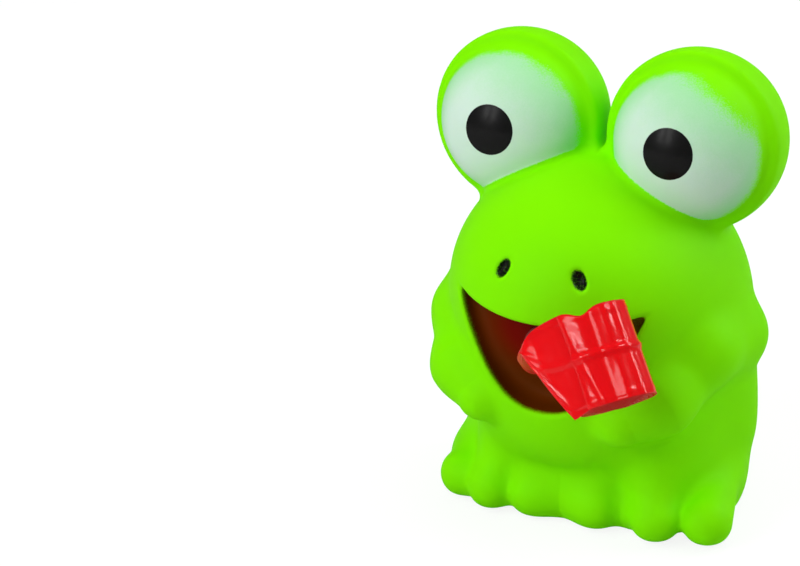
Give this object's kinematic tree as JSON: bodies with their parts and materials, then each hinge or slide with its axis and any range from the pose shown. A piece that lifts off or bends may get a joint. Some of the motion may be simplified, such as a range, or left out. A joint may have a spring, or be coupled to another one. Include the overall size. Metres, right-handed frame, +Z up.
{
  "type": "squeeze toy frog",
  "caption": "Hollow soft vinyl frog that stands on its flat base; squeezing it blows air into a film tongue, which unrolls from the open mouth and curls up again.",
  "frame": {"origin": "middle of the base plug's outer face, flush with the base the frog stands on", "axes": "+Z up, -Y the way the frog looks, +X the frog's left"},
  "size_m": [0.0668, 0.0733, 0.0863],
  "materials": {
    "vinyl": "satin lime green soft vinyl, with eye white, black and mouth red sprayed on",
    "plug_plastic": "natural, slightly milky",
    "nozzle_plastic": "plain white",
    "film": "glossy red film",
    "strip_plastic": "clear springy strip, red through the film"
  },
  "bodies": {
    "body": {"body_shell": "vinyl", "base_plug": "plug_plastic", "tongue_nozzle": "nozzle_plastic", "tongue_neck": "film"},
    "tongue_lead": {"tongue_lead": "film"},
    "tongue_roll": {"tongue_roll": "film", "curl_strip": "strip_plastic"}
  },
  "joints": [
    {"name": "tongue_extend", "type": "slide", "parent": "body", "child": "tongue_lead", "axis": [0.4617, -0.6607, 0.5919], "range_m": [0, 0.0744], "stiffness_N_per_m": 1.5, "springref_m": -0.05, "deforming": ["tongue_lead"]},
    {"name": "tongue_curl", "type": "hinge", "parent": "tongue_lead", "child": "tongue_roll", "pos_m": [0.01515, -0.0384, 0.0444], "axis": [0.4989, -0.3584, -0.7891], "range_deg": [0, 1080]}
  ],
  "couplings": [
    {"joint": "tongue_curl", "follows": "tongue_extend", "rad_per_m": 253}
  ]
}
